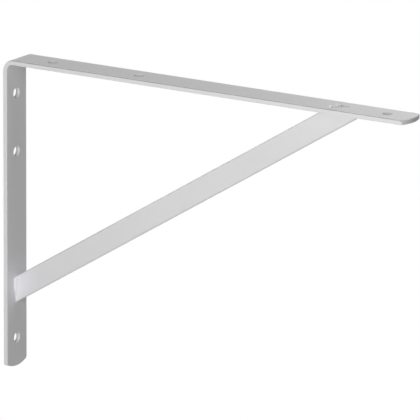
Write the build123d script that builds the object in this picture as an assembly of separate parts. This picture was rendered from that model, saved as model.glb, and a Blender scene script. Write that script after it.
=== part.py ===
from build123d import *
import math
import os

# Reinforced shelf bracket: a flat steel bar bent into an L, stiffened by a welded flat brace.
# Millimetres. X points out from the wall, Z points up and Y runs across the bar's width.
# The origin is on the wall plane, midway between the highest and the lowest wall screw.
# The plane Y = 0 is a plane of symmetry.

# Bent bar: the leg lies on the wall, and the arm carries the shelf. Both ends are cut to a
# shallow arc, and the corners beside the arc are eased.
arm_length = 500.0
leg_length = 346.0
bar_width = 38.0
bar_thickness = 5.0
inner_bend_radius = 7.0
end_arc_radius = 40.0
end_corner_radius = 3.0
bar_edge_radius = 0.9

# Plain screw holes through the bar, with their rims eased on both sides
screw_hole_diameter = 11.0
hole_rim_ease = 0.5

# Wall holes, measured down from the shelf face, and the last one up from the leg's foot
top_wall_hole_drop = 40.0
second_wall_hole_drop = 105.0
foot_hole_margin = 32.0

# Shelf holes, measured out from the wall plane, and the last one back from the arm's tip
first_shelf_hole_reach = 52.0
second_shelf_hole_reach = 162.0
tip_hole_margin = 32.0

# Brace: a flat bar with well rounded edges, set on edge in the middle of the width. Its
# centre line meets the leg's room face at the foot drop, and the arm's underside at the
# head reach. The two rounds of an edge take no more than a share of the thickness each.
brace_depth = 25.0
brace_thickness = 5.0
brace_edge_radius = 2.2
fullest_round_share = 0.49
brace_foot_drop = 259.5
brace_head_reach = 417.0

# Fillet welds: one run on each side of the brace at each end. A run starts bluntly, swells
# to its full leg, and fades out to a thin one. The insets are measured from the ends of the
# seat, on which the brace stands.
weld_leg = 3.0
weld_start_leg = 2.2
weld_end_leg = 0.6
weld_crown = 0.3
weld_swell_length = 1.0
lower_weld_top_inset = 0.2
lower_weld_bottom_inset = 7.0
lower_weld_fade_length = 9.5
upper_weld_inset = 8.5
upper_weld_fade_length = 3.0

# Places that follow from the sizes above
outer_bend_radius = inner_bend_radius + bar_thickness
foot_hole_drop = leg_length - foot_hole_margin
tip_hole_reach = arm_length - tip_hole_margin
wall_hole_drops = (top_wall_hole_drop, second_wall_hole_drop, foot_hole_drop)
shelf_hole_reaches = (first_shelf_hole_reach, second_shelf_hole_reach, tip_hole_reach)
shelf_face_height = (top_wall_hole_drop + foot_hole_drop) / 2
underside_height = shelf_face_height - bar_thickness
brace_angle = math.atan2(brace_foot_drop - bar_thickness, brace_head_reach - bar_thickness)
half_foot_seat = brace_depth / 2 / math.cos(brace_angle)
half_head_seat = brace_depth / 2 / math.sin(brace_angle)
brace_edge_round = min(brace_edge_radius, fullest_round_share * brace_thickness)
end_arc_depth = end_arc_radius - math.sqrt(end_arc_radius**2 - (bar_width / 2) ** 2)

# Side view: its x is the distance out from the wall, its y the height above the shelf face
side_view = Plane(origin=(0, 0, shelf_face_height), x_dir=(1, 0, 0), z_dir=(0, -1, 0))


def bar_outline():
    """Side outline of the bent bar: two straight runs joined by one bend."""
    outline = make_face(
        Polyline(
            (0, -leg_length),
            (0, 0),
            (arm_length, 0),
            (arm_length, -bar_thickness),
            (bar_thickness, -bar_thickness),
            (bar_thickness, -leg_length),
            close=True,
        )
    )
    outer_corner = outline.vertices().sort_by_distance((0, 0, 0))[0]
    outline = fillet(outer_corner, outer_bend_radius)
    inner_point = (bar_thickness, -bar_thickness, 0)
    inner_corner = outline.vertices().sort_by_distance(inner_point)[0]
    return fillet(inner_corner, inner_bend_radius)


def end_waste(end_middle, outwards, thickness_direction):
    """What is cut off one square end, outside the end arc, through the whole thickness."""
    end_plane = Plane(origin=end_middle, x_dir=outwards, z_dir=thickness_direction)
    square_end = Rectangle(end_arc_depth, bar_width, align=(Align.MAX, Align.CENTER))
    outside_arc = square_end - Pos(-end_arc_radius, 0) * Circle(end_arc_radius)
    return extrude(end_plane * outside_arc, bar_thickness)


def rim_edges(bar):
    """Edges all round the bar's outer and inner sides, without the lines across the bend."""
    full_width_faces = bar.faces().filter_by(
        lambda face: math.isclose(face.bounding_box().size.Y, bar_width, rel_tol=0.001)
    )
    return full_width_faces.edges().filter_by(Axis.Y, reverse=True)


def screw_hole(face_point, through_direction):
    """Cutter for one screw hole, from a point on one side of the bar to its other side."""
    hole_radius = screw_hole_diameter / 2
    eased_radius = hole_radius + hole_rim_ease
    near_side = (Align.CENTER, Align.CENTER, Align.MIN)
    far_side = (Align.CENTER, Align.CENTER, Align.MAX)
    shank = Cylinder(hole_radius, bar_thickness, align=near_side)
    near_rim = Cone(eased_radius, hole_radius, hole_rim_ease, align=near_side)
    far_rim = Cone(hole_radius, eased_radius, hole_rim_ease, align=far_side)
    hole = shank + near_rim + Pos(0, 0, bar_thickness) * far_rim
    return Plane(origin=face_point, z_dir=through_direction) * hole


def make_bent_bar():
    """The L-shaped bar, with arc-cut ends, eased edges and screw holes."""
    bar = extrude(side_view * bar_outline(), bar_width / 2, both=True)
    foot_middle = (bar_thickness, 0, shelf_face_height - leg_length)
    bar -= end_waste(foot_middle, (0, 0, -1), (-1, 0, 0))
    tip_middle = (arm_length, 0, underside_height)
    bar -= end_waste(tip_middle, (1, 0, 0), (0, 0, 1))
    foot_corners = bar.edges().filter_by(Axis.X).group_by(Axis.Z)[0]
    tip_corners = bar.edges().filter_by(Axis.Z).group_by(Axis.X)[-1]
    bar = fillet(foot_corners + tip_corners, end_corner_radius)
    bar = fillet(rim_edges(bar), bar_edge_radius)
    for drop in wall_hole_drops:
        bar -= screw_hole((bar_thickness, 0, shelf_face_height - drop), (-1, 0, 0))
    for reach in shelf_hole_reaches:
        bar -= screw_hole((reach, 0, underside_height), (0, 0, 1))
    return bar


def make_brace():
    """The flat brace, with both ends cut to lie on the faces that they are welded to."""
    outline = make_face(
        Polyline(
            (bar_thickness, -brace_foot_drop - half_foot_seat),
            (bar_thickness, -brace_foot_drop + half_foot_seat),
            (brace_head_reach - half_head_seat, -bar_thickness),
            (brace_head_reach + half_head_seat, -bar_thickness),
            close=True,
        )
    )
    brace = extrude(side_view * outline, brace_thickness / 2, both=True)
    long_edges = brace.edges().sort_by(SortBy.LENGTH)[-4:]
    return fillet(long_edges, brace_edge_round)


def weld_section(leg, middle, away, sideways):
    """Section across a weld run: it fills the corner beside the brace, with a crowned face.

    The section reaches in over the brace's rounded edge, and the brace is cut away later.
    """
    across_run = Plane(origin=middle, x_dir=away, z_dir=Vector(away).cross(Vector(sideways)))
    side = brace_thickness / 2
    inner_side = side - brace_edge_round
    crown_reach = leg / 2 + weld_crown * leg / weld_leg / math.sqrt(2)
    outline = Polyline((0, side + leg), (0, inner_side), (leg, inner_side), (leg, side))
    outline += ThreePointArc((leg, side), (crown_reach, side + crown_reach), (0, side + leg))
    return across_run * make_face(outline)


def weld_pair(seat_start, seat_end, away, fade_length, brace):
    """Two weld runs, in the corners on both sides of the brace.

    The runs go from seat_start to seat_end, two points at mid-width on the face that the
    brace is welded to. The direction out of that face is away.
    """
    sideways = Vector(0, 1, 0)
    start, end = Vector(*seat_start), Vector(*seat_end)
    along = (end - start).normalized()
    steps = (
        (start, weld_start_leg),
        (start + along * weld_swell_length, weld_leg),
        (end - along * fade_length, weld_leg),
        (end, weld_end_leg),
    )
    run = loft([weld_section(leg, middle, away, sideways) for middle, leg in steps], ruled=True)
    run -= brace
    return run + mirror(run, Plane.XZ)


def make_lower_weld(brace):
    """Welds between the brace and the leg, from the top of the brace's foot downwards."""
    seat_middle = shelf_face_height - brace_foot_drop
    top = seat_middle + half_foot_seat - lower_weld_top_inset
    bottom = seat_middle - half_foot_seat + lower_weld_bottom_inset
    top_point, bottom_point = (bar_thickness, 0, top), (bar_thickness, 0, bottom)
    return weld_pair(top_point, bottom_point, (1, 0, 0), lower_weld_fade_length, brace)


def make_upper_weld(brace):
    """Welds between the brace and the arm, in the middle of the brace's head."""
    half_run = half_head_seat - upper_weld_inset
    inner_point = (brace_head_reach - half_run, 0, underside_height)
    outer_point = (brace_head_reach + half_run, 0, underside_height)
    return weld_pair(inner_point, outer_point, (0, 0, -1), upper_weld_fade_length, brace)


brace = make_brace()
nodes = {
    "bent_bar": make_bent_bar(),
    "brace": brace,
    "lower_weld": make_lower_weld(brace),
    "upper_weld": make_upper_weld(brace),
}

os.makedirs("parts", exist_ok=True)
for name, solid in nodes.items():
    export_step(solid, f"parts/{name}.step")
    size = solid.bounding_box()
    print(name, "solids", len(solid.solids()), "volume", round(solid.volume, 1))
    print("  from", size.min, "to", size.max)
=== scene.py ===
# %% [markdown]
# This lesson finishes a welded steel shelf bracket: one flat bar bent into an L, with a flat
# brace welded across the corner, all under one pale powder coat. The construction model
# already holds every piece at its real size and place, so it is loaded first and is never
# moved. What is left for Blender is the coat, the weld beads with a mark and a drop of
# spatter beside them, the light and the camera.

# %% Load the construction model
import math

import bmesh
import bpy
from mathutils import Euler, Matrix, Vector, noise


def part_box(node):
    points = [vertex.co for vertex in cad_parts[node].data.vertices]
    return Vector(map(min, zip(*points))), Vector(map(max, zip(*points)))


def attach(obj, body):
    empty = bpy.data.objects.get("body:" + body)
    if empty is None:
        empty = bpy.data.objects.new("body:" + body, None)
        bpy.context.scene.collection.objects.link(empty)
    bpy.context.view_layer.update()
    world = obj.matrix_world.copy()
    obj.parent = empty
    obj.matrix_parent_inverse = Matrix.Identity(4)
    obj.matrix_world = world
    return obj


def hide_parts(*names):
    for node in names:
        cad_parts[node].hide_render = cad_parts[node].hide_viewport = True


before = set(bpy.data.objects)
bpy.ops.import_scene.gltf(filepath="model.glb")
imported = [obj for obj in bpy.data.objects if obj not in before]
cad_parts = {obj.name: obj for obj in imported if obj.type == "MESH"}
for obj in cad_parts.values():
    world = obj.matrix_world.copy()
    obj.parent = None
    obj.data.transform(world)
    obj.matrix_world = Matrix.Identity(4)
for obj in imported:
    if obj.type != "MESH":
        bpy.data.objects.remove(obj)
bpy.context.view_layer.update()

print("pieces from the construction model:", sorted(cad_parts))

# %% [markdown]
# Everything that is added later has to sit on the real bar and brace, so its place is
# measured on the model instead of being typed in again. A box gives the lowest and highest
# corner of one piece. The brace fits between the two limbs of the bar, so its box also tells
# where the underside of the arm and the room side of the leg are, and how thick the bar is.

# %% Measure the bar and the brace
MM = 0.001
DECIMALS = 3

bar_low, bar_high = (Vector(corner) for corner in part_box("bent_bar"))
brace_low, brace_high = (Vector(corner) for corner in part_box("brace"))
shelf_face = bar_high.z
underside = brace_high.z
bar_thickness = shelf_face - underside
leg_face = brace_low.x
brace_half_thickness = brace_high.y
print("bar thickness in mm:", round(bar_thickness / MM, DECIMALS))
print("brace thickness in mm:", round(2 * brace_half_thickness / MM, DECIMALS))

# %% [markdown]
# A product photograph of a long thin part is taken from far away with a long lens, so that
# parallel edges stay nearly parallel. The camera looks at a point near the middle of the
# bracket. Its place is worked out from an azimuth and an elevation. A tracking rotation then
# turns it to face that point, and a small roll adds the picture's slight tilt.

# %% Camera
AIM = Vector((251.9, 0.0, 42.33)) * MM
AZIMUTH = math.radians(32.06)
ELEVATION = math.radians(14.8)
ROLL = math.radians(0.38)
DISTANCE = 6.08
FOCAL_LENGTH = 491.8
SENSOR_WIDTH = 36.0

towards_camera = Vector((
    math.sin(AZIMUTH) * math.cos(ELEVATION),
    -math.cos(AZIMUTH) * math.cos(ELEVATION),
    math.sin(ELEVATION),
))
camera = bpy.data.objects.new("camera", bpy.data.cameras.new("camera"))
bpy.context.collection.objects.link(camera)
camera.data.sensor_width = SENSOR_WIDTH
camera.data.lens = FOCAL_LENGTH
turn = towards_camera.to_track_quat("Z", "Y") @ Euler((0, 0, ROLL)).to_quaternion()
camera_place = Matrix.Translation(AIM + towards_camera * DISTANCE)
camera.matrix_world = camera_place @ turn.to_matrix().to_4x4()
bpy.context.scene.camera = camera
bpy.context.scene.view_settings.view_transform = "Standard"
print("camera at", [round(value, DECIMALS) for value in camera.location])

# %% [markdown]
# Behind a catalogue part there is nothing but white. A white world would also light the part
# from every side and flatten it, so the world shows white only to the camera, to
# reflections and through glass. For every other kind of ray it is dark, and the lamps alone
# light the matt part of each surface. The Light Path node tells the kinds of ray apart, and
# its share picks one of two backgrounds. A strength of 1 is plain white.

# %% World
WHITE = (1, 1, 1, 1)
FULL_WHITE = 1
WORLD_LIGHT = 0.0


def seen_directly(tree):
    """Socket that is 1 for rays from the camera, from reflections and through glass."""
    path = tree.nodes.new("ShaderNodeLightPath")
    total = path.outputs["Is Camera Ray"]
    for kind in ("Is Glossy Ray", "Is Transmission Ray"):
        either = tree.nodes.new("ShaderNodeMath")
        either.operation = "MAXIMUM"
        tree.links.new(total, either.inputs[0])
        tree.links.new(path.outputs[kind], either.inputs[1])
        total = either.outputs[0]
    return total


world = bpy.data.worlds.new("white studio")
bpy.context.scene.world = world
world.use_nodes = True
world_tree = world.node_tree
world_tree.nodes.clear()
world_output = world_tree.nodes.new("ShaderNodeOutputWorld")
world_mix = world_tree.nodes.new("ShaderNodeMixShader")
soft_fill = world_tree.nodes.new("ShaderNodeBackground")
soft_fill.inputs["Color"].default_value = WHITE
soft_fill.inputs["Strength"].default_value = WORLD_LIGHT
white_backdrop = world_tree.nodes.new("ShaderNodeBackground")
white_backdrop.inputs["Color"].default_value = WHITE
white_backdrop.inputs["Strength"].default_value = FULL_WHITE
world_tree.links.new(seen_directly(world_tree), world_mix.inputs["Fac"])
world_tree.links.new(soft_fill.outputs[0], world_mix.inputs[1])
world_tree.links.new(white_backdrop.outputs[0], world_mix.inputs[2])
world_tree.links.new(world_mix.outputs[0], world_output.inputs["Surface"])
print("world light on surfaces:", WORLD_LIGHT)

# %% [markdown]
# The bracket hangs on a wall in use, and the picture shows it free in white, so the floor lies
# well below it. One large square is enough for it.

# %% Floor
FLOOR_DROP = 0.2
FLOOR_REACH = 12.0
floor_height = bar_low.z - FLOOR_DROP

floor_mesh = bpy.data.meshes.new("floor")
floor = bpy.data.objects.new("floor", floor_mesh)
bpy.context.collection.objects.link(floor)
shape = bmesh.new()
bmesh.ops.create_grid(shape, x_segments=1, y_segments=1, size=FLOOR_REACH)
bmesh.ops.translate(shape, verts=shape.verts, vec=(0, 0, floor_height))
shape.to_mesh(floor_mesh)
shape.free()
print("floor height in metres:", round(floor_height, DECIMALS))

# %% [markdown]
# Part of what the camera sees of the floor is white light of its own, which keeps it as pale
# as the backdrop, and the rest is a plain matt surface, on which the shadow of the bracket
# still falls. The white share grows with the distance from the middle of the bracket, so the
# shadow fades out softly and the floor shows no edge against the world.

# %% Pale floor with a soft shadow
FLOOR_GREY = 0.6
SHADOW_REACH = 0.30
WHITE_REACH = 0.55
GLOW_NEAR = 0.8
GLOW_FAR = 1.0

floor_material = bpy.data.materials.new("pale floor")
floor_material.use_nodes = True
floor_tree = floor_material.node_tree
floor_tree.nodes.clear()
floor_output = floor_tree.nodes.new("ShaderNodeOutputMaterial")
floor_mix = floor_tree.nodes.new("ShaderNodeMixShader")
matt = floor_tree.nodes.new("ShaderNodeBsdfDiffuse")
matt.inputs["Color"].default_value = (FLOOR_GREY, FLOOR_GREY, FLOOR_GREY, 1)
glow = floor_tree.nodes.new("ShaderNodeEmission")
glow.inputs["Color"].default_value = WHITE
glow.inputs["Strength"].default_value = FULL_WHITE
floor_place = floor_tree.nodes.new("ShaderNodeTexCoord").outputs["Object"]
from_middle = floor_tree.nodes.new("ShaderNodeVectorMath")
from_middle.operation = "DISTANCE"
from_middle.inputs[1].default_value = (bar_high.x / 2, 0, floor_height)
floor_tree.links.new(floor_place, from_middle.inputs[0])
fade = floor_tree.nodes.new("ShaderNodeMapRange")
fade.interpolation_type = "SMOOTHSTEP"
fade.inputs["From Min"].default_value = SHADOW_REACH
fade.inputs["From Max"].default_value = WHITE_REACH
fade.inputs["To Min"].default_value = GLOW_NEAR
fade.inputs["To Max"].default_value = GLOW_FAR
floor_tree.links.new(from_middle.outputs["Value"], fade.inputs["Value"])
share = floor_tree.nodes.new("ShaderNodeMath")
share.operation = "MULTIPLY"
floor_tree.links.new(seen_directly(floor_tree), share.inputs[0])
floor_tree.links.new(fade.outputs["Result"], share.inputs[1])
floor_tree.links.new(share.outputs[0], floor_mix.inputs["Fac"])
floor_tree.links.new(matt.outputs[0], floor_mix.inputs[1])
floor_tree.links.new(glow.outputs[0], floor_mix.inputs[2])
floor_tree.links.new(floor_mix.outputs[0], floor_output.inputs["Surface"])
floor_mesh.materials.append(floor_material)
print("white share of the floor from", GLOW_NEAR, "to", GLOW_FAR)

# %% [markdown]
# Each flat side of the bracket has one tone, and the tones tell its form. The narrow sides
# in front and the flat of the brace are the brightest, the top of the arm is a step darker
# and the broad room side of the leg is darker again. One lamp could not keep those steps
# apart, so each side gets a soft lamp that favours it. The front lamp stands lower than the
# camera, so the shadow that the arm throws on the brace stays hidden behind the arm. The
# overhead lamp is for the top, and the weak outer one for the leg's room side and the tip.
# Two more stand behind, for whoever walks round the bracket. The back one is far enough
# round to miss the room side of the leg, whose tone it would spoil. Lamps are placed as a
# photographer would say it, by direction and distance from the subject.

# %% Lamps
# Each lamp has a name, its degrees to the right of -Y and above level, its distance and the
# side of its square in metres, and its power in watts.
LAMPS = (
    ("front_softbox", 10, 8, 2.3, 0.9, 31.2),
    ("top_softbox", 90, 86.8, 1.76, 0.8, 8.6),
    ("outer_softbox", 45, 29, 1.45, 0.5, 2.95),
    ("back_softbox", 197, 5, 2.3, 0.8, 10),
    ("wall_softbox", 270, 5, 2.3, 0.8, 18),
)


def lamp_place(azimuth, elevation, distance):
    """Point at a distance from the aim, by degrees to the right of -Y and above level."""
    round_angle, up_angle = math.radians(azimuth), math.radians(elevation)
    level = distance * math.cos(up_angle)
    rise = distance * math.sin(up_angle)
    return AIM + Vector((level * math.sin(round_angle), -level * math.cos(round_angle), rise))


def add_softbox(name, place, size, power):
    """Square area lamp at a place, turned to shine on the aim."""
    lamp = bpy.data.objects.new(name, bpy.data.lights.new(name, "AREA"))
    bpy.context.collection.objects.link(lamp)
    lamp.data.shape = "SQUARE"
    lamp.data.size = size
    lamp.data.energy = power
    away_from_aim = (place - AIM).to_track_quat("Z", "Y")
    lamp.matrix_world = Matrix.Translation(place) @ away_from_aim.to_matrix().to_4x4()
    print(name, "at", [round(value, DECIMALS) for value in place], "power", power)


for name, azimuth, elevation, distance, size, power in LAMPS:
    add_softbox(name, lamp_place(azimuth, elevation, distance), size, power)

# %% [markdown]
# Powder coat is a thick baked paint. It is satin, a little cool, and its surface keeps a very
# fine unevenness like the skin of an orange, which shows only where light glances off it.
# The colour and the roughness drift slightly over the length, because the powder never
# settles quite evenly. A noise pattern is a good match for both, slow for the drift and fine
# for the peel. All patterns are read in Object coordinates, so they cross from one piece to
# the next without a seam. A colour is written as its linear red, green and blue, and a 1 for
# opaque.

# %% Noise for the drift and the peel
COAT_PALE = (0.796, 0.794, 0.804, 1)
COAT_DEEP = (0.767, 0.765, 0.775, 1)
PATCH_SIZE = 60 * MM
PATCH_DETAIL = 3
PEEL_SIZE = 1.6 * MM
PEEL_DETAIL = 2
PEEL_DEPTH = 0.008 * MM
SMOOTHEST = 0.40
ROUGHEST = 0.48
PAINT_IOR = 1.5


def noise_pattern(tree, coordinates, feature_size, detail):
    """Noise texture whose lumps are about one feature size across."""
    pattern = tree.nodes.new("ShaderNodeTexNoise")
    pattern.inputs["Scale"].default_value = 1 / feature_size
    pattern.inputs["Detail"].default_value = detail
    tree.links.new(coordinates, pattern.inputs["Vector"])
    return pattern.outputs["Fac"]


print("tone drifts over mm:", round(PATCH_SIZE / MM, DECIMALS))
print("orange peel in mm:", round(PEEL_SIZE / MM, DECIMALS))

# %% [markdown]
# In a few places the colour differs more. Round the lower weld the leg is a little paler and
# cooler. This is painted light, standing in for the light that the brace bounces onto the leg.
# At the front of the weld mark on the arm, and in the stain past it, the coat is thin, so the
# dark metal dulls it. The drop of spatter beside the mark is nearly white, which is a painted
# highlight. Each of these is a soft round spot, or a chain of them, blended in by the distance
# from its middle, which needs no image for a mask and no second material. The middles are
# given by their distance from the wall and across the bar, on the face that carries them.

# %% Round spots of another tone
# The paler, cooler tone round the lower weld is painted light: the light that the brace
# bounces onto the leg.
PAINTED_BOUNCE_TONE = (0.83, 0.825, 0.85, 1)
COAT_THIN = (0.45, 0.45, 0.46, 1)
# The nearly white colour of the spatter drop is a painted highlight.
PAINTED_HIGHLIGHT_WHITE = (0.92, 0.92, 0.93, 1)
BOUNCE_LIGHT_OFFSET = Vector((1.0, 2.0, 0.0)) * MM
BOUNCE_LIGHT_REACH = (12 * MM, 32 * MM)
SPATTER_OFFSET = Vector((404.1, -9.0, 0.7)) * MM
SPATTER_HIGHLIGHT_REACH = (2.0 * MM, 2.6 * MM)
STAIN_REACH = (1.0 * MM, 2.6 * MM)
STAIN_LINE = ((409.6, 5.2), (411.3, 2.6), (413.4, 0.2), (415.9, 1.7), (418.4, 3.0))

lower_low, lower_high = (Vector(corner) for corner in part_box("lower_weld"))
bounce_light_middle = Vector((leg_face, 0, lower_high.z)) + BOUNCE_LIGHT_OFFSET
spatter_place = Vector((0, 0, shelf_face)) + SPATTER_OFFSET
stain_middles = [Vector((out * MM, across * MM, shelf_face)) for out, across in STAIN_LINE]
# This is the middle of the painted bounce light on the leg.
print("thick coat round", [round(value, DECIMALS) for value in bounce_light_middle])


def round_spot(tree, coordinates, middle, reach):
    """Socket that is 1 near a point and fades to 0 between the two distances of its reach."""
    distance = tree.nodes.new("ShaderNodeVectorMath")
    distance.operation = "DISTANCE"
    distance.inputs[1].default_value = middle
    tree.links.new(coordinates, distance.inputs[0])
    spot = tree.nodes.new("ShaderNodeMapRange")
    spot.interpolation_type = "SMOOTHSTEP"
    spot.inputs["From Min"].default_value = reach[0]
    spot.inputs["From Max"].default_value = reach[1]
    spot.inputs["To Min"].default_value = 1
    spot.inputs["To Max"].default_value = 0
    tree.links.new(distance.outputs["Value"], spot.inputs["Value"])
    return spot.outputs["Result"]


# %% [markdown]
# Along the two rounded edges of the arm's top the colour is darker. This is painted shade,
# which keeps those edges from catching more light than the top and the front beside them. A
# Bevel node could find edges, but it would find those of every piece and costs many more rays.
# The edges are straight here, so two distances are enough: how far a point is out towards the
# side of the bar, and how near it is to the top.
# The first is read through a colour ramp with a flat hump, which falls again just before the
# side is reached.

# %% Painted shade on the arm's upper edges
# The darker edge colour is painted shade on the rounded upper edges of the arm.
PAINTED_EDGE_SHADE = (0.43, 0.43, 0.435, 1)
BLACK = (0, 0, 0, 1)
BAR_EDGE_ROUND = 0.9 * MM
EDGE_SHADE_FROM = 0.10
EDGE_SHADE_TO = 0.90
EDGE_SHADE_END = 0.98


def upper_edge_shade(tree, coordinates):
    """Socket that is 1 on the rounded edges beside the arm's top, and 0 on its flat faces."""
    parts = tree.nodes.new("ShaderNodeSeparateXYZ")
    tree.links.new(coordinates, parts.inputs[0])
    from_middle = tree.nodes.new("ShaderNodeMath")
    from_middle.operation = "ABSOLUTE"
    tree.links.new(parts.outputs["Y"], from_middle.inputs[0])
    across = tree.nodes.new("ShaderNodeMapRange")
    across.inputs["From Min"].default_value = bar_high.y - BAR_EDGE_ROUND
    across.inputs["From Max"].default_value = bar_high.y
    tree.links.new(from_middle.outputs[0], across.inputs["Value"])
    hump = tree.nodes.new("ShaderNodeValToRGB")
    hump.color_ramp.elements[0].color = BLACK
    hump.color_ramp.elements[1].position = EDGE_SHADE_FROM
    for position, tone in ((EDGE_SHADE_TO, WHITE), (EDGE_SHADE_END, BLACK)):
        hump.color_ramp.elements.new(position).color = tone
    tree.links.new(across.outputs["Result"], hump.inputs["Fac"])
    upper = tree.nodes.new("ShaderNodeMapRange")
    upper.inputs["From Min"].default_value = shelf_face - 2 * BAR_EDGE_ROUND
    upper.inputs["From Max"].default_value = shelf_face - BAR_EDGE_ROUND
    tree.links.new(parts.outputs["Z"], upper.inputs["Value"])
    share = tree.nodes.new("ShaderNodeMath")
    share.operation = "MULTIPLY"
    tree.links.new(hump.outputs["Color"], share.inputs[0])
    tree.links.new(upper.outputs["Result"], share.inputs[1])
    return share.outputs[0]


print("edges start at mm from mid-width:", round((bar_high.y - BAR_EDGE_ROUND) / MM, DECIMALS))

# %% [markdown]
# Now the layers go on, one after the other, as a painter would glaze them: the drifting ground
# first, then the patch of painted bounce light, the painted shade on the edges, the stain and
# the painted highlight of the drop. The Mix node has sockets for numbers, vectors and colours
# at once, and many share a name, so its share, its two colours and its result are picked by
# their place in the list.

# %% Powder coat on every piece
MIX_SHARE, MIX_BELOW, MIX_ABOVE = 0, 6, 7
MIX_RESULT = 2


def blended(tree, share, colour_below, colour_above):
    """Colour socket between two colours, each of them a value or another socket."""
    mix = tree.nodes.new("ShaderNodeMix")
    mix.data_type = "RGBA"
    tree.links.new(share, mix.inputs[MIX_SHARE])
    for colour, place in ((colour_below, MIX_BELOW), (colour_above, MIX_ABOVE)):
        if isinstance(colour, bpy.types.NodeSocket):
            tree.links.new(colour, mix.inputs[place])
        else:
            mix.inputs[place].default_value = colour
    return mix.outputs[MIX_RESULT]


def make_powder_coat():
    """Satin paint with slow drift of tone, painted light and shade in a few spots, slightly
    uneven gloss and a fine orange peel.
    """
    material = bpy.data.materials.new("powder_coat")
    material.use_nodes = True
    tree = material.node_tree
    shader = tree.nodes["Principled BSDF"]
    place = tree.nodes.new("ShaderNodeTexCoord").outputs["Object"]

    patches = noise_pattern(tree, place, PATCH_SIZE, PATCH_DETAIL)
    colour = blended(tree, patches, COAT_DEEP, COAT_PALE)
    # Painted light: a paler patch on the leg round the lower weld, standing in for light
    # bounced off the brace.
    bounce_light_patch = round_spot(tree, place, bounce_light_middle, BOUNCE_LIGHT_REACH)
    colour = blended(tree, bounce_light_patch, colour, PAINTED_BOUNCE_TONE)
    # Painted shade along the arm's upper rounded edges.
    colour = blended(tree, upper_edge_shade(tree, place), colour, PAINTED_EDGE_SHADE)
    for middle in stain_middles:
        colour = blended(tree, round_spot(tree, place, middle, STAIN_REACH), colour, COAT_THIN)
    # Painted highlight: the spatter drop is coloured nearly white.
    drop_highlight = round_spot(tree, place, spatter_place, SPATTER_HIGHLIGHT_REACH)
    colour = blended(tree, drop_highlight, colour, PAINTED_HIGHLIGHT_WHITE)
    tree.links.new(colour, shader.inputs["Base Color"])

    gloss = tree.nodes.new("ShaderNodeMapRange")
    gloss.inputs["To Min"].default_value = SMOOTHEST
    gloss.inputs["To Max"].default_value = ROUGHEST
    tree.links.new(patches, gloss.inputs["Value"])
    tree.links.new(gloss.outputs["Result"], shader.inputs["Roughness"])

    peel = tree.nodes.new("ShaderNodeBump")
    peel.inputs["Strength"].default_value = 1.0
    peel.inputs["Distance"].default_value = PEEL_DEPTH
    tree.links.new(noise_pattern(tree, place, PEEL_SIZE, PEEL_DETAIL), peel.inputs["Height"])
    tree.links.new(peel.outputs["Normal"], shader.inputs["Normal"])
    shader.inputs["Metallic"].default_value = 0.0
    shader.inputs["IOR"].default_value = PAINT_IOR
    return material


powder_coat = make_powder_coat()
for name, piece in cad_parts.items():
    piece.data.materials.clear()
    piece.data.materials.append(powder_coat)
    print("coated", name)

# %% [markdown]
# A fillet weld fills the corner between two pieces with a run of melted metal. Its section
# is a triangle with a slightly crowned face, and its face carries fine bowed ripples, one
# for each time that the pool of metal froze. It could be a solid with a bump texture, but
# ripples seen from the side need real geometry. So a section is drawn once and swept along
# a straight run, and each ring of the sweep is then grown or shrunk about the corner line.
# The crowned face of the section is a point spun through an arc, and three edges close it
# behind the face. They reach in over the brace's rounded edge, so no gap shows beside it.
# Spin with no angle and a small shift at every step is the straight sweep.

# %% Draw and sweep a bead section
CROWN = 0.3 * MM
FACE_STEPS = 10
RING_PITCH = 0.2 * MM
MERGE_DISTANCE = 0.001 * MM
FEWEST_RINGS = 2


def arc_through(first, middle, last):
    """Centre and full angle of the arc through three points of a plane."""
    chord_middle = (first + last) / 2
    half_chord = (last - first).length / 2
    rise = (middle - chord_middle).length
    radius = (half_chord ** 2 + rise ** 2) / (2 * rise)
    inwards = (chord_middle - middle).normalized()
    return middle + inwards * radius, 2 * math.asin(half_chord / radius)


def swept_bead(length, leg, side, root):
    """Bead of even size along X, in the corner between the plane Z = 0 and a side at Y = side.

    Its section reaches in to Y = root, inside the piece that it stands beside.
    """
    bead = bmesh.new()
    lower_toe, upper_toe = Vector((0, side + leg, 0)), Vector((0, side, leg))
    crown_point = (lower_toe + upper_toe) / 2 + Vector((0, 1, 1)).normalized() * CROWN
    centre, angle = arc_through(lower_toe, crown_point, upper_toe)
    first = bead.verts.new(lower_toe)
    arc = bmesh.ops.spin(
        bead, geom=[first], cent=centre, axis=(1, 0, 0), dvec=(0, 0, 0), angle=angle,
        steps=FACE_STEPS, use_merge=False, use_duplicate=False,
    )
    last = next(part for part in arc["geom_last"] if isinstance(part, bmesh.types.BMVert))
    inner_top = bead.verts.new((0, root, leg))
    inner_bottom = bead.verts.new((0, root, 0))
    for start, end in ((last, inner_top), (inner_top, inner_bottom), (inner_bottom, first)):
        bead.edges.new((start, end))
    steps = max(FEWEST_RINGS, round(length / RING_PITCH))
    bmesh.ops.spin(
        bead, geom=bead.verts[:] + bead.edges[:], cent=(0, 0, 0), axis=(1, 0, 0),
        dvec=(length / steps, 0, 0), angle=0, steps=steps, use_merge=False,
        use_duplicate=False,
    )
    bmesh.ops.remove_doubles(bead, verts=bead.verts, dist=MERGE_DISTANCE)
    open_ends = [edge for edge in bead.edges if edge.is_boundary]
    bmesh.ops.holes_fill(bead, edges=open_ends, sides=0)
    return bead


print("rings of a bead lie mm apart:", round(RING_PITCH / MM, DECIMALS))

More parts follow.
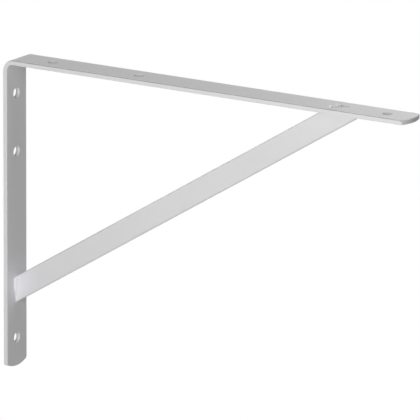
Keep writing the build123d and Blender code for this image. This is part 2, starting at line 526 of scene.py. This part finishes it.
# %% [markdown]
# The real run swells quickly to its full leg, keeps it, and fades towards its end. The
# ripples are humps with a sharp valley between them, bowed backwards in the middle of the
# face, and they are low, because the paint has softened them. They are counted from about
# their mean height, so they don't thicken the bead. A little noise keeps the two sides from
# being too regular, and the outermost rings are drawn in, so no run ends in a large flat
# cut. All this is one number for every point, by which its distance from the corner line is
# multiplied, so the toes stay on the two plates. A displacement texture could do it too, but
# it would have to be mapped along each run first.

# %% Shape the welds
START_SHARE = 0.73
END_SHARE = 0.2
SWELL_LENGTH = 1.0 * MM
ROUNDED_END = 0.5 * MM
LAST_RING_SHARE = 0.35
RIPPLE_PITCH = 1.5 * MM
RIPPLE_SHARE = 0.05
RIPPLE_BOW = 0.9 * MM
RIPPLE_LEVEL = 0.6
WANDER_SHARE = 0.05
WANDER_LENGTH = 4.0 * MM
WANDER_ACROSS = 2
BRACE_ROUND = 2.2 * MM
SIDE_SLACK = 0.01 * MM


def run_share(along, length, fade_length):
    """Share of the full leg that a weld run has at a distance from its start."""
    if along < SWELL_LENGTH:
        share = START_SHARE + (1 - START_SHARE) * along / SWELL_LENGTH
    elif along > length - fade_length:
        share = END_SHARE + (1 - END_SHARE) * (length - along) / fade_length
    else:
        share = 1.0
    from_end = min(along, length - along, ROUNDED_END) / ROUNDED_END
    rounding = math.sqrt(1 - (1 - from_end) ** 2)
    return share * (LAST_RING_SHARE + (1 - LAST_RING_SHARE) * rounding)


def ripple_share(along, height_share):
    """How much a point of the face is raised or lowered by the ripples."""
    middle_share = 4 * height_share * (1 - height_share)
    bow = RIPPLE_BOW * middle_share
    hump = abs(math.sin(math.pi * (along + bow) / RIPPLE_PITCH))
    return RIPPLE_SHARE * (hump - RIPPLE_LEVEL)


def weld_run(length, leg, fade_length, seed):
    """One run along X, with swollen start, faded end, ripples and a slight wander."""
    side = brace_half_thickness
    run = swept_bead(length, leg, side, side - BRACE_ROUND)
    for point in run.verts:
        outwards = point.co.y - side
        grown = run_share(point.co.x, length, fade_length)
        if outwards < -SIDE_SLACK:
            point.co.z *= grown
            continue
        height_share = math.atan2(point.co.z, outwards) / (math.pi / 2)
        noise_place = (point.co.x / WANDER_LENGTH, seed, WANDER_ACROSS * height_share)
        wander = noise.noise(Vector(noise_place))
        grown *= 1 + WANDER_SHARE * wander + ripple_share(point.co.x, height_share)
        point.co.y = side + outwards * grown
        point.co.z *= grown
    return run


print("ripples follow each other in mm:", round(RIPPLE_PITCH / MM, DECIMALS))

# %% [markdown]
# Every new piece is finished in the same way. Its faces are turned outwards and shaded smooth,
# but an edge where two faces meet at a steep angle is marked sharp, so that toes and ends stay
# crisp. Then it gets the coat of the other pieces and rides on the part's one body.

# %% Finish a new piece
SHARP_ANGLE = math.radians(60)


def coated_piece(name, shape):
    """Object of the finished mesh, smooth but for its sharp edges, with the powder coat."""
    bmesh.ops.recalc_face_normals(shape, faces=shape.faces)
    for face in shape.faces:
        face.smooth = True
    for edge in shape.edges:
        if edge.is_manifold:
            edge.smooth = edge.calc_face_angle() < SHARP_ANGLE
    mesh = bpy.data.meshes.new(name)
    shape.to_mesh(mesh)
    shape.free()
    mesh.materials.append(powder_coat)
    piece = bpy.data.objects.new(name, mesh)
    bpy.context.collection.objects.link(piece)
    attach(piece, "root")
    print(name, "triangles:", sum(len(face.vertices) - 2 for face in mesh.polygons))
    return piece


print("edges are sharp from degrees:", round(math.degrees(SHARP_ANGLE), DECIMALS))

# %% [markdown]
# A run is drawn along X with its plate below it. For the lower weld it is turned so that it
# runs down the leg, and for the upper weld so that it hangs under the arm. The second run of
# each pair lies on the other side of the brace. It is made with another seed, because no
# two hand-made runs are the same, and then mirrored, so its normals are worked out anew.
# Starts, lengths and legs come from the boxes of the smooth welds in the model. Only the
# lengths over which the runs fade can't be read from a box, so they are written here.

# %% Weld beads at both ends of the brace
LOWER_FADE = 9.5 * MM
UPPER_FADE = 3.0 * MM
LOWER_SEEDS = (1, 5)
UPPER_SEEDS = (9, 13)


def weld_pair(name, node, start, along, away, length, leg, fade_length, seeds):
    """Both runs of a weld, in place, as one piece that stands for the smooth one."""
    sideways = Vector((0, 1, 0))
    pair = bmesh.new()
    for seed, hand in zip(seeds, (1, -1)):
        run = weld_run(length, leg, fade_length, seed)
        place = Matrix((along, sideways * hand, away)).transposed().to_4x4()
        bmesh.ops.transform(run, matrix=Matrix.Translation(start) @ place, verts=run.verts)
        run_mesh = bpy.data.meshes.new(name)
        run.to_mesh(run_mesh)
        run.free()
        pair.from_mesh(run_mesh)
        bpy.data.meshes.remove(run_mesh)
    beads = coated_piece(name, pair)
    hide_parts(node)


down, out = Vector((0, 0, -1)), Vector((1, 0, 0))
lower_start = Vector((leg_face, 0, lower_high.z))
lower_length = lower_high.z - lower_low.z
lower_leg = lower_high.y - brace_half_thickness
weld_pair(
    "lower_weld_beads", "lower_weld", lower_start, down, out, lower_length, lower_leg,
    LOWER_FADE, LOWER_SEEDS,
)
upper_low, upper_high = (Vector(corner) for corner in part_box("upper_weld"))
upper_start = Vector((upper_low.x, 0, underside))
upper_length = upper_high.x - upper_low.x
upper_leg = upper_high.y - brace_half_thickness
weld_pair(
    "upper_weld_beads", "upper_weld", upper_start, out, down, upper_length, upper_leg,
    UPPER_FADE, UPPER_SEEDS,
)

# %% [markdown]
# Above the end of the brace, the top of the arm carries the trace of a short weld: a low
# puddle, wider than it is long, with broad bowed ripples and a steep front, a thin stain
# past its front, and a drop of spatter beside its start. The stain is in the coat's colour
# alone. The puddle is swept along X like the other beads, from a half round section that is
# one metre in radius for now. Each ring is shrunk to its real size in the next step.

# %% Sweep the weld mark
MARK_START = Vector((402.4, -2.1)) * MM
MARK_END = Vector((411.3, 2.1)) * MM
MARK_FACE_STEPS = 2 * FACE_STEPS

mark_run = MARK_END - MARK_START
mark = bmesh.new()
edge_point = mark.verts.new((0, 1, 0))
bmesh.ops.spin(
    mark, geom=[edge_point], cent=(0, 0, 0), axis=(1, 0, 0), dvec=(0, 0, 0),
    angle=math.pi, steps=MARK_FACE_STEPS, use_merge=False, use_duplicate=False,
)
mark_steps = round(mark_run.length / RING_PITCH)
bmesh.ops.spin(
    mark, geom=mark.verts[:] + mark.edges[:], cent=(0, 0, 0), axis=(1, 0, 0),
    dvec=(mark_run.length / mark_steps, 0, 0), angle=0, steps=mark_steps, use_merge=False,
    use_duplicate=False,
)
bmesh.ops.remove_doubles(mark, verts=mark.verts, dist=MERGE_DISTANCE)
print("mark length in mm:", round(mark_run.length / MM, DECIMALS), "rings:", mark_steps + 1)

# %% [markdown]
# A few stations along the run give the puddle's half width and height, eased from one to the
# next, so it swells fast, stays nearly even and drops steeply at its front. The ripples take
# a share of the height away, but leave the front alone, because the last of the metal froze
# there in one go. Their valleys are bowed by the height of the point on the section. At last
# the mark is closed underneath, turned to its run and set on the arm.

# %% Shape and place the weld mark
# Each station has its share of the length, and its half width and height in millimetres.
MARK_STATIONS = (
    (0.00, 5.0, 0.05),
    (0.10, 7.6, 0.90),
    (0.50, 8.6, 1.10),
    (0.85, 8.0, 1.10),
    (0.95, 7.0, 0.90),
    (1.00, 6.0, 0.05),
)
MARK_RIPPLE_PITCH = 3.1 * MM
MARK_RIPPLE_DEPTH = 0.7
MARK_RIPPLED_SHARE = 0.90
MARK_RIPPLE_BOW = 2.65 * MM


def mark_size(share):
    """Half width and height of the mark at a share of its length, eased between stations."""
    for (near, *near_size), (far, *far_size) in zip(MARK_STATIONS, MARK_STATIONS[1:]):
        if share <= far:
            part = (share - near) / (far - near)
            eased = part * part * (3 - 2 * part)
            return Vector(near_size).lerp(Vector(far_size), eased) * MM
    return Vector(far_size) * MM


for point in mark.verts:
    share = point.co.x / mark_run.length
    bow = -MARK_RIPPLE_BOW * point.co.z
    hump = abs(math.sin(math.pi * (point.co.x + bow) / MARK_RIPPLE_PITCH))
    rippled = 1 - MARK_RIPPLE_DEPTH * (1 - hump) if share < MARK_RIPPLED_SHARE else 1
    half_width, height = mark_size(share)
    point.co.y *= half_width
    point.co.z *= height * rippled
open_edges = [edge for edge in mark.edges if edge.is_boundary]
bmesh.ops.holes_fill(mark, edges=open_edges, sides=0)
mark_angle = math.atan2(mark_run.y, mark_run.x)
mark_place = Matrix.Translation((MARK_START.x, MARK_START.y, shelf_face))
mark_place = mark_place @ Matrix.Rotation(mark_angle, 4, "Z")
bmesh.ops.transform(mark, matrix=mark_place, verts=mark.verts)
coated_piece("weld_mark", mark)

# %% [markdown]
# The drop of spatter is a bead of metal that flew off the weld and froze on the face. It is
# a ball, slightly flattened and sunk into the arm, so only its cap shows. An icosphere gives
# even faces all over, where a sphere of rings would crowd them at its poles.

# %% Drop of spatter
# The drop's nearly white colour, set in the powder coat, is a painted highlight.
SPATTER_SIZE = Vector((1.7, 1.6, 1.2)) * MM
SPATTER_SUBDIVISIONS = 3

spatter = bmesh.new()
bmesh.ops.create_icosphere(spatter, subdivisions=SPATTER_SUBDIVISIONS, radius=1)
bmesh.ops.scale(spatter, verts=spatter.verts, vec=SPATTER_SIZE)
bmesh.ops.translate(spatter, verts=spatter.verts, vec=spatter_place)
coated_piece("spatter_drop", spatter)
